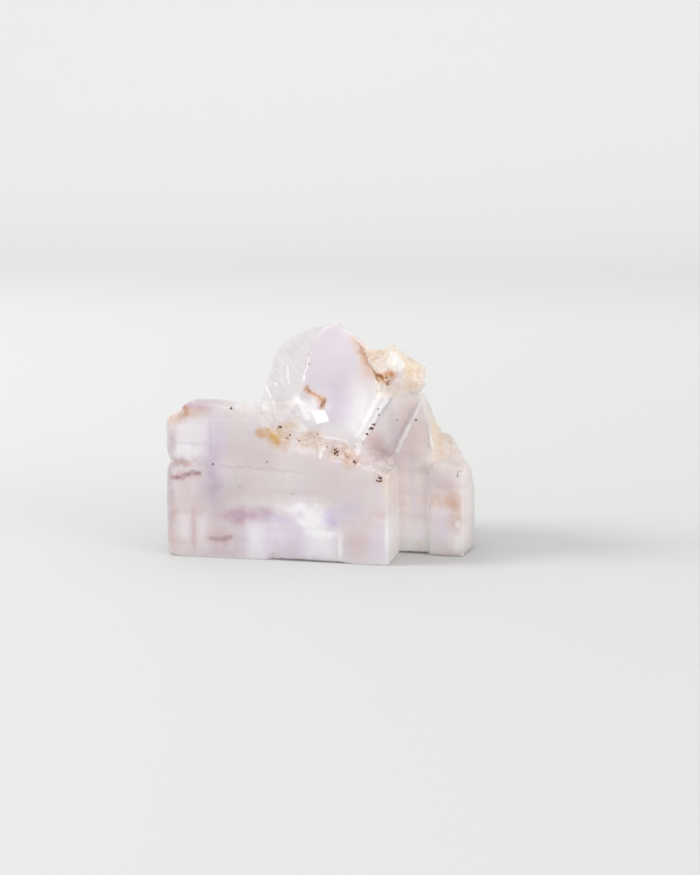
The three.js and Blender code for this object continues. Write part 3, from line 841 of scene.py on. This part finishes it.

# %% [markdown]
# Iron came in along hairline cracks, so the thin rust lines are narrower than a cell of the grid, and so
# are the painted highlights along edges and on small flats, where those would catch the light. Those are
# drawn by nodes. A stroke measures how far a place is from a line through a few points, and a flat
# measures how deep a place lies inside its sides. Noise bends the strokes and breaks them into specks, as
# real stains are.

# %% Strokes
# Tint, share, half width, softness, and the points they run through.
STROKES = [
    ("grey", 0.28, 1.1, 0.9, (196, 464), (213, 465), (232, 467), (262, 468), (300, 473)),
    ("red brown", 0.9, 2.1, 0.9, (171, 477), (180, 478), (187, 475), (192, 472), (199, 473)),
    ("red brown", 0.6, 1.9, 0.9, (211, 538), (220, 539), (231, 537)),
    # Painted highlight along the bevel on the leaning cube's right edge, and painted glow beside it that
    # lightens the bevel's shaded side.
    ("white", 0.9, 2.6, 0.6, (386, 400), (363, 439)),
    ("painted glow", 0.5, 2.4, 0.9, (377, 399), (358, 436)),
    # Painted highlight along the convex edge where the grey break meets the lilac face.
    ("white", 0.8, 0.9, 0.8, (303, 380), (307, 365), (311, 350)),
    ("orange", 0.7, 3.6, 0.9, (306, 389), (313, 394), (320, 399)),
    ("rust", 1.0, 3.0, 0.7, (306, 388), (308, 391)),
    ("umber", 0.6, 1.4, 0.9, (307, 390), (309, 392)),
    ("rust", 0.8, 1.2, 0.9, (310, 391), (317, 396), (322, 399)),
    ("orange", 0.7, 4.0, 0.9, (324, 401), (322, 410)),
    ("rust", 1.0, 3.0, 0.7, (324, 401), (322, 409)),
    ("umber", 0.9, 1.5, 0.8, (324, 402), (322, 409)),
    ("tan", 0.9, 5.0, 0.9, (353, 338), (359, 347), (365, 358), (370, 369), (377, 379)),
    ("rust", 0.85, 3.4, 0.9, (362, 350), (368, 361), (372, 370), (376, 377)),
    ("umber", 0.5, 0.9, 0.8, (353, 338), (359, 345), (362, 352)),
    ("umber", 0.5, 0.9, 0.8, (368, 359), (371, 366), (375, 373)),
    ("umber", 0.9, 1.2, 0.7, (376, 374), (379, 375), (383, 378)),
    ("umber", 0.9, 1.1, 0.7, (386, 377), (389, 380), (387, 385)),
    ("rust", 0.9, 1.6, 0.8, (380, 376), (384, 381), (388, 384)),
    # Painted highlights: white streaks along the glassy flank.
    ("white", 0.9, 1.5, 0.8, (266, 386), (269, 395), (274, 406)),
    ("white", 0.9, 1.4, 0.7, (275, 384), (278, 401)),
    ("white", 0.8, 1.0, 0.8, (288, 365), (289, 385)),
    ("white", 0.9, 1.6, 0.7, (324, 448), (321, 456)),
    ("umber", 0.3, 0.8, 0.9, (215, 402), (236, 408)),
    # Painted highlights along the ridge beside the wing and along the edge of the wing's break.
    ("white", 0.8, 2.1, 0.8, (389, 468), (397, 451), (405, 434), (413, 417), (420, 403)),
    ("white", 0.6, 1.2, 0.7, (427, 418), (430, 432), (433, 447)),
    ("orange", 0.6, 1.0, 0.9, (440, 434), (440, 446), (441, 456)),
    ("tan", 0.5, 1.0, 0.9, (450, 440), (451, 458)),
    ("umber", 0.5, 0.6, 0.7, (456, 478), (457, 471), (462, 470)),
]
print("strokes:", len(STROKES))

# %% Drawing the strokes
STROKE_BEND, BEND_WAVELENGTH = 1.0, 1.5  # mm
SPECKLE_WAVELENGTH, SPECKLE_RAMP = 0.4, (0.35, 0.6, 0.6, 1.0)
MID_GREY = (0.5, 0.5, 0.5)  # the middle of the noise's colours

bend_noise = recipe.noise(place, BEND_WAVELENGTH, detail=4).outputs["Color"]
bend = recipe.vector("SUBTRACT", bend_noise, MID_GREY)
bent_place = recipe.vector("MULTIPLY_ADD", bend, (STROKE_BEND * MM,) * 3, place)
speckle = recipe.ramped_noise(place, SPECKLE_WAVELENGTH, SPECKLE_RAMP, detail=3)


def distance_to_line(start, end):
    """How far a bent place is from the straight line between two points."""
    line = end - start
    offset = recipe.vector("SUBTRACT", bent_place, start)
    ahead = recipe.vector("DOT_PRODUCT", offset, line)
    along = recipe.math("DIVIDE", ahead, line.length_squared, clamp=True)
    reached = recipe.node("ShaderNodeVectorMath", {0: line, "Scale": along}, operation="SCALE")
    return recipe.vector("LENGTH", recipe.vector("SUBTRACT", offset, reached.outputs[0]))


def smallest(values):
    """The smallest of several values."""
    least, *others = values
    for value in others:
        least = recipe.math("MINIMUM", least, value)
    return least


for name, share, half_wide, soft, *points in STROKES:
    ends = [seen_at(*point)[0] for point in points]
    nearest = smallest([distance_to_line(start, end) for start, end in zip(ends, ends[1:])])
    half = half_wide / UNITS_PER_MM * MM
    cover = recipe.ramp(nearest, half * (1 - soft), half * (1 + soft), share, 0.0)
    paint = recipe.mix(paint, TINT[name], recipe.math("MULTIPLY", cover, speckle))
print("nodes with the strokes:", len(recipe.tree.nodes))

# %% Painted highlights and ribs
# Painted highlights, flats painted pale where they would catch the light: tint, share, softness, and the
# corners of each, going round.
PAINTED_HIGHLIGHTS = [
    ("white", 1.0, 0.6, (311, 410), (325, 410), (329, 421), (317, 424)),
    ("white", 1.0, 1.2, (389, 350), (396, 353), (405, 365), (400, 371), (392, 360)),
    ("painted glow", 0.6, 0.8, (388, 561), (394, 554), (391, 562)),
]
HIGHLIGHT_FADE = (2, 3)  # mm from its middle, where a flat's plane stops counting
# Fine curved ribs near the corner of the leaning cube.
RIB_CENTRE, RIB_MIDDLE = (332, 404), (344, 411)
RIB_STEP = 0.42  # mm from one rib to the next
RIB_FADE, RIB_SHARE = (0.6, 2.2), 0.6  # mm from their middle, and their share there


def depth_inside(corners, middle):
    """How deep a place lies inside the sides of a flat: its depth past the nearest of them."""
    facing = (corners[1] - corners[0]).cross(corners[2] - corners[0])
    depths = []
    for start, end in zip(corners, corners[1:] + corners[:1]):
        inward = (end - start).cross(facing).normalized()
        if inward.dot(middle - start) < 0:
            inward.negate()
        depths.append(recipe.vector("DOT_PRODUCT", recipe.vector("SUBTRACT", place, start), inward))
    return smallest(depths)


def distance_to(point, position=place):
    """How far a place is from one point."""
    return recipe.vector("LENGTH", recipe.vector("SUBTRACT", position, point))


for name, share, soft, *outline in PAINTED_HIGHLIGHTS:
    corners = [seen_at(*corner)[0] for corner in outline]
    middle = sum(corners, Vector()) / len(corners)
    edge = soft / UNITS_PER_MM * MM
    inside_share = recipe.ramp(depth_inside(corners, middle), -edge, edge, 0.0, 1.0)
    near = recipe.ramp(distance_to(middle), HIGHLIGHT_FADE[0] * MM, HIGHLIGHT_FADE[1] * MM, share, 0.0)
    paint = recipe.mix(paint, TINT[name], recipe.math("MULTIPLY", inside_share, near))

from_centre = distance_to(seen_at(*RIB_CENTRE)[0], bent_place)
from_middle = distance_to(seen_at(*RIB_MIDDLE)[0])
rib = recipe.math("SINE", recipe.math("MULTIPLY", from_centre, math.tau / (RIB_STEP * MM)))
rib_share = recipe.ramp(from_middle, RIB_FADE[0] * MM, RIB_FADE[1] * MM, RIB_SHARE, 0.0)
paint = recipe.mix(paint, TINT["violet"], recipe.math("MULTIPLY", rib, rib_share, clamp=True))
print("nodes with the flats and ribs:", len(recipe.tree.nodes))

# %% [markdown]
# The body is milky but lets light through. Transmission with fluorite's own low IOR lets some of it pass,
# a weak absorption tints what passes, and scattering under the surface carries light to the faces that
# look away from the lamp. The faces are worn, so they are satin rather than glassy. Fine layers and pits
# are far too low to model, and a bump draws them.

# %% The crystal's body and finish
TRANSMISSION = 0.42
IOR = 1.434
SCATTER_WEIGHT = 0.7
SCATTER_REACH = 8 * MM
SCATTER_BY_COLOUR = (1, 0.9, 1)
BODY_TINT, BODY_DENSITY = (0.9, 0.82, 0.92, 1), 5.0
WORN_WAVELENGTH, WORN_RAMP = 3, (0.35, 0.65, 0.3, 0.36)
BROKEN_ROUGHER = 0.15
LAYER_WAVELENGTH, PIT_WAVELENGTH, PIT_SHARE = 0.35, 0.25, 0.5
LAYER_STRETCH = (0.08, 0.08, 1)  # layers lie flat, so their noise is stretched sideways
RELIEF_STRENGTH, RELIEF_HEIGHT = 0.25, 0.03 * MM

shader = recipe.shader
recipe.feed(shader.inputs["Base Color"], paint)
shader.inputs["IOR"].default_value = IOR
shader.inputs["Transmission Weight"].default_value = TRANSMISSION
shader.inputs["Subsurface Weight"].default_value = SCATTER_WEIGHT
shader.inputs["Subsurface Radius"].default_value = SCATTER_BY_COLOUR
shader.inputs["Subsurface Scale"].default_value = SCATTER_REACH

worn = recipe.ramped_noise(place, WORN_WAVELENGTH, WORN_RAMP)
roughness = recipe.math("MULTIPLY_ADD", broken_share, BROKEN_ROUGHER, worn)
recipe.feed(shader.inputs["Roughness"], roughness)

layer_place = recipe.vector("MULTIPLY", place, LAYER_STRETCH)
layers = recipe.noise(layer_place, LAYER_WAVELENGTH).outputs["Fac"]
pits = recipe.noise(place, PIT_WAVELENGTH, detail=4).outputs["Fac"]
relief = recipe.math("MULTIPLY_ADD", pits, PIT_SHARE, layers)
heights = {"Height": relief, "Strength": RELIEF_STRENGTH, "Distance": RELIEF_HEIGHT}
recipe.feed(shader.inputs["Normal"], recipe.node("ShaderNodeBump", heights).outputs["Normal"])

absorb = recipe.node("ShaderNodeVolumeAbsorption", {"Color": BODY_TINT, "Density": BODY_DENSITY})
recipe.feed(recipe.output.inputs["Volume"], absorb.outputs[0])
crystal.data.materials.clear()
crystal.data.materials.append(crystal_material)

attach(crystal, "root")
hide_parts("fluorite_crystal")
print("nodes in the material:", len(recipe.tree.nodes))

# %% [markdown]
# ## Iron grains
# Small dark grains of iron oxide sit in clusters along the breaks. As dots of colour they would lie flat
# and go soft from close by. Each is a lump pressed halfway into the surface instead, an icosphere whose
# vertices are pushed in and out at random, and all of them are one piece.

# %% Iron grains
# Across and down in the view, the cluster's reach, its number of grains, and the size of the largest in mm.
CLUSTERS = [
    (279, 427, 3.5, 6, 0.22),
    (290, 435, 4.5, 6, 0.17),
    (299, 441, 3, 3, 0.18),
    (309, 434, 3, 4, 0.18),
    (318, 434, 2.5, 2, 0.17),
    (327, 447, 1.5, 2, 0.17),
    (337, 452, 4.0, 11, 0.28),
    (354, 462, 2.5, 6, 0.24),
    (346, 456, 4, 4, 0.13),
    (380, 478, 4, 11, 0.26),
    (374, 424, 1.8, 6, 0.24),
    (371, 428, 2.2, 7, 0.25),
    (367, 434, 1.4, 4, 0.22),
    (379, 415, 1.0, 3, 0.15),
    (378, 409, 0.5, 1, 0.13),
    (397, 420, 0.8, 1, 0.16),
    (416, 420, 1, 3, 0.22),
    (231, 408, 1.8, 4, 0.19),
    (213, 464, 0.8, 2, 0.17),
    (309, 364, 1, 2, 0.13),
    (309, 354, 2, 3, 0.11),
    (319, 409, 1, 2, 0.14),
    (240, 487, 2, 3, 0.1),
    (293, 494, 1.5, 2, 0.1),
    (267, 462, 1, 2, 0.12),
    (458, 476, 2, 3, 0.1),
    (449, 449, 1.5, 2, 0.15),
    (379, 376, 3, 5, 0.16),
    (388, 381, 2, 4, 0.14),
    (336, 386, 5, 6, 0.08),
    (190, 403, 3, 3, 0.1),
]
LUMPY = 0.35
SMALLER = (0.35, 0.85)  # the other grains of a cluster, next to its largest
NARROWER = (0.6, 1)
FLATTEN = 0.7
DICE_SEED = 5
dice = random.Random(DICE_SEED)


def add_grain(bm, point, normal, size):
    """One lumpy grain, half sunk at a point of the surface."""
    made = bmesh.ops.create_icosphere(bm, subdivisions=1, radius=size * MM)["verts"]
    turn = normal.to_track_quat("Z", "Y").to_matrix().to_4x4()
    spin = Matrix.Rotation(dice.uniform(0, math.tau), 4, "Z")
    for vert in made:
        vert.co *= 1 + LUMPY * dice.uniform(-1, 1)
    bmesh.ops.scale(bm, vec=(1, dice.uniform(*NARROWER), FLATTEN), verts=made)
    bmesh.ops.transform(bm, matrix=Matrix.Translation(point) @ turn @ spin, verts=made)


bm = bmesh.new()
for across, down, reach, count, largest in CLUSTERS:
    for number in range(count):
        angle = dice.uniform(0, math.tau)
        away = reach * math.sqrt(dice.random()) * (number > 0)
        size = largest * (dice.uniform(*SMALLER) if number else 1)
        point, normal = seen_at(across + away * math.cos(angle), down + away * math.sin(angle))
        if point:
            add_grain(bm, point, normal, size)
bmesh.ops.recalc_face_normals(bm, faces=bm.faces)
grains = new_piece("iron_grains", bm)
grains.data.shade_smooth()
print("iron grains:", len(grains.data.polygons), "triangles")

# %% [markdown]
# Iron oxide is nearly black where it is thick and rusty where it is thin, and dull like soot. So noise
# mixes the two colours, and the rusty patches are rougher.

# %% The grains' material
GRAIN_DARK, GRAIN_RUSTY = colour("34221a"), colour("6e4426")
RUSTY_WAVELENGTH, RUSTY_RAMP = 0.3, (0.35, 0.65, 0.0, 1.0)
DARK_ROUGHNESS, RUSTY_ROUGHNESS = 0.45, 0.8

grain_material = bpy.data.materials.new("iron oxide")
grain_recipe = Recipe(grain_material)
grain_place = grain_recipe.node("ShaderNodeTexCoord").outputs["Object"]
rusty = grain_recipe.ramped_noise(grain_place, RUSTY_WAVELENGTH, RUSTY_RAMP, detail=3)
roughness = grain_recipe.ramp(rusty, 0, 1, DARK_ROUGHNESS, RUSTY_ROUGHNESS)
grain_recipe.feed(grain_recipe.shader.inputs["Base Color"], grain_recipe.mix(GRAIN_DARK, GRAIN_RUSTY, rusty))
grain_recipe.feed(grain_recipe.shader.inputs["Roughness"], roughness)
grains.data.materials.append(grain_material)
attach(grains, "root")
print("nodes in the grains' material:", len(grain_recipe.tree.nodes))
